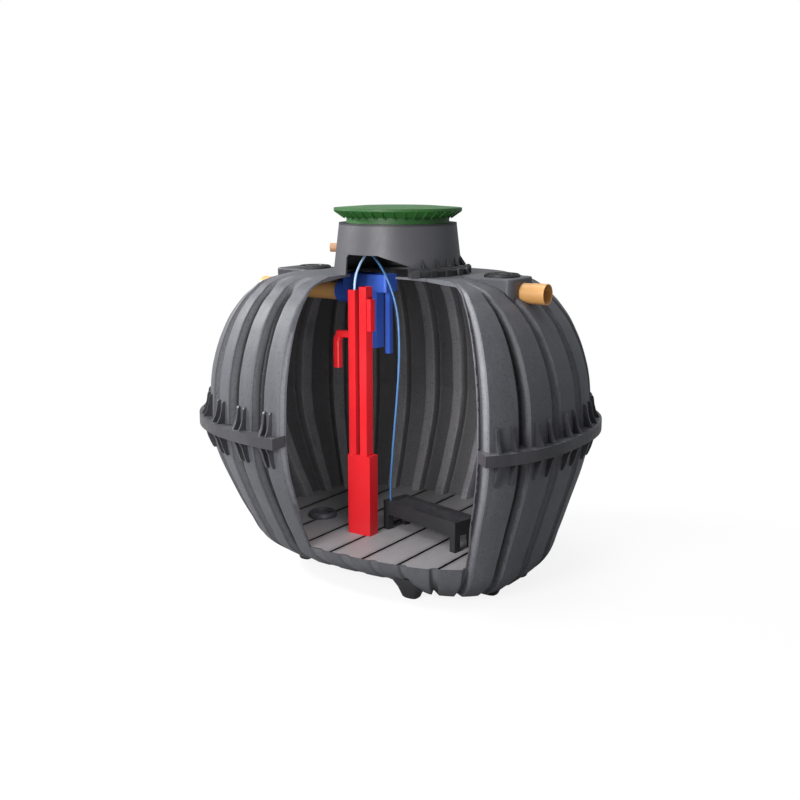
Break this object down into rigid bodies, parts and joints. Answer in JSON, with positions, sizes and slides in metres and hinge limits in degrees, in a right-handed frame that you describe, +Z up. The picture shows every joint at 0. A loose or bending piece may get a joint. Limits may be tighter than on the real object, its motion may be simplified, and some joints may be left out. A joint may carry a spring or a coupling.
{
  "type": "packaged sewage treatment plant",
  "caption": "Buried ribbed plastic tank for treating waste water, cut open at the front to show its inlet box, airlift, hoses and air diffuser, with a neck, shaft and cover on top.",
  "frame": {"origin": "on the ground at the middle of the tank, under the neck", "axes": "+X along the tank towards the outlet pipe, -Y the side that is cut open, +Z up"},
  "size_m": [2.28, 1.902, 2.07],
  "materials": {
    "shell": "moulded, satin",
    "neck": "moulded, satin",
    "black": "matt",
    "pipe": "extruded, semi-gloss",
    "stub": "matt",
    "green": "moulded, satin",
    "blue": "satin",
    "red": "satin",
    "membrane": "matt",
    "hose_blue": "satin",
    "hose_pale": "satin"
  },
  "bodies": {
    "root": {"upper_wall_right": "shell", "upper_wall_back_right": "shell", "upper_wall_back_left": "shell", "upper_wall_left": "shell", "upper_wall_front": "shell", "lower_wall_right": "shell", "lower_wall_back_right": "shell", "lower_wall_back_left": "shell", "lower_wall_left": "shell", "lower_wall_front": "shell", "lower_wall_sill": "shell", "crown": "shell", "bottom": "shell", "feet": "shell", "floor": "shell", "rim_upper": "shell", "rim_lower": "shell", "gussets_upper": "shell", "gussets_lower": "shell", "pad_left": "shell", "pad_right": "shell", "disc_left": "black", "disc_right": "black", "inlet_pipe": "pipe", "outlet_pipe": "pipe", "neck": "neck", "collar": "black", "conduit_stub": "stub", "hose_plug": "black", "shaft": "green", "shaft_seal": "black", "shaft_rim": "green", "rim_webs": "green", "cover": "green", "inlet_box": "blue", "drop_pipe_wide": "blue", "drop_pipe_narrow": "blue", "airlift_tube_left": "red", "airlift_tube_right": "red", "airlift_foot": "red", "airlift_hook": "red", "airlift_clip": "red", "diffuser_frame": "black", "diffuser_plate": "membrane", "air_hose": "hose_blue", "airlift_hose": "hose_pale"}
  },
  "joints": []
}
